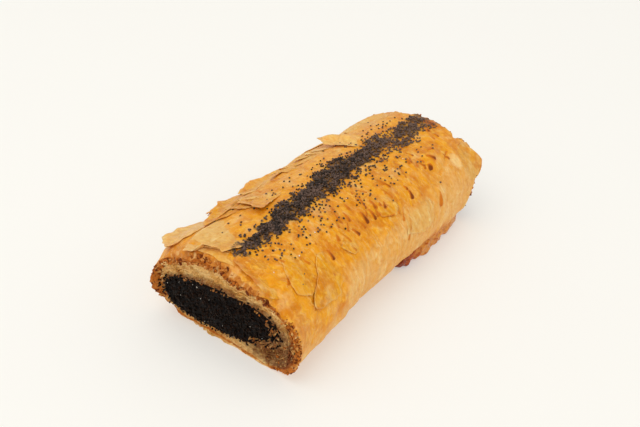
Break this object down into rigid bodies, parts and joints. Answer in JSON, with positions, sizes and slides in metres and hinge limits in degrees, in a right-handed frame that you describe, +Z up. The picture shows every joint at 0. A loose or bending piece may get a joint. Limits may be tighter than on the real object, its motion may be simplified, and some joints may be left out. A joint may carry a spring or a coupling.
{
  "type": "poppy seed strudel",
  "caption": "Portion of rolled flaky pastry strudel with a poppy seed filling showing at its cut ends and a strip of poppy seeds along its top.",
  "frame": {"origin": "on the table, under the middle of the whole piece", "axes": "+X along the roll from the front cut to the back cut, +Z up, +Y to the flaky flank"},
  "size_m": [0.1426, 0.0794, 0.0426],
  "materials": {
    "baked_pastry": "baked golden brown, flaky, slightly glossy where buttered",
    "poppy_filling": "moist granular near-black paste"
  },
  "bodies": {
    "root": {"pastry": "baked_pastry", "filling": "poppy_filling"}
  },
  "joints": []
}
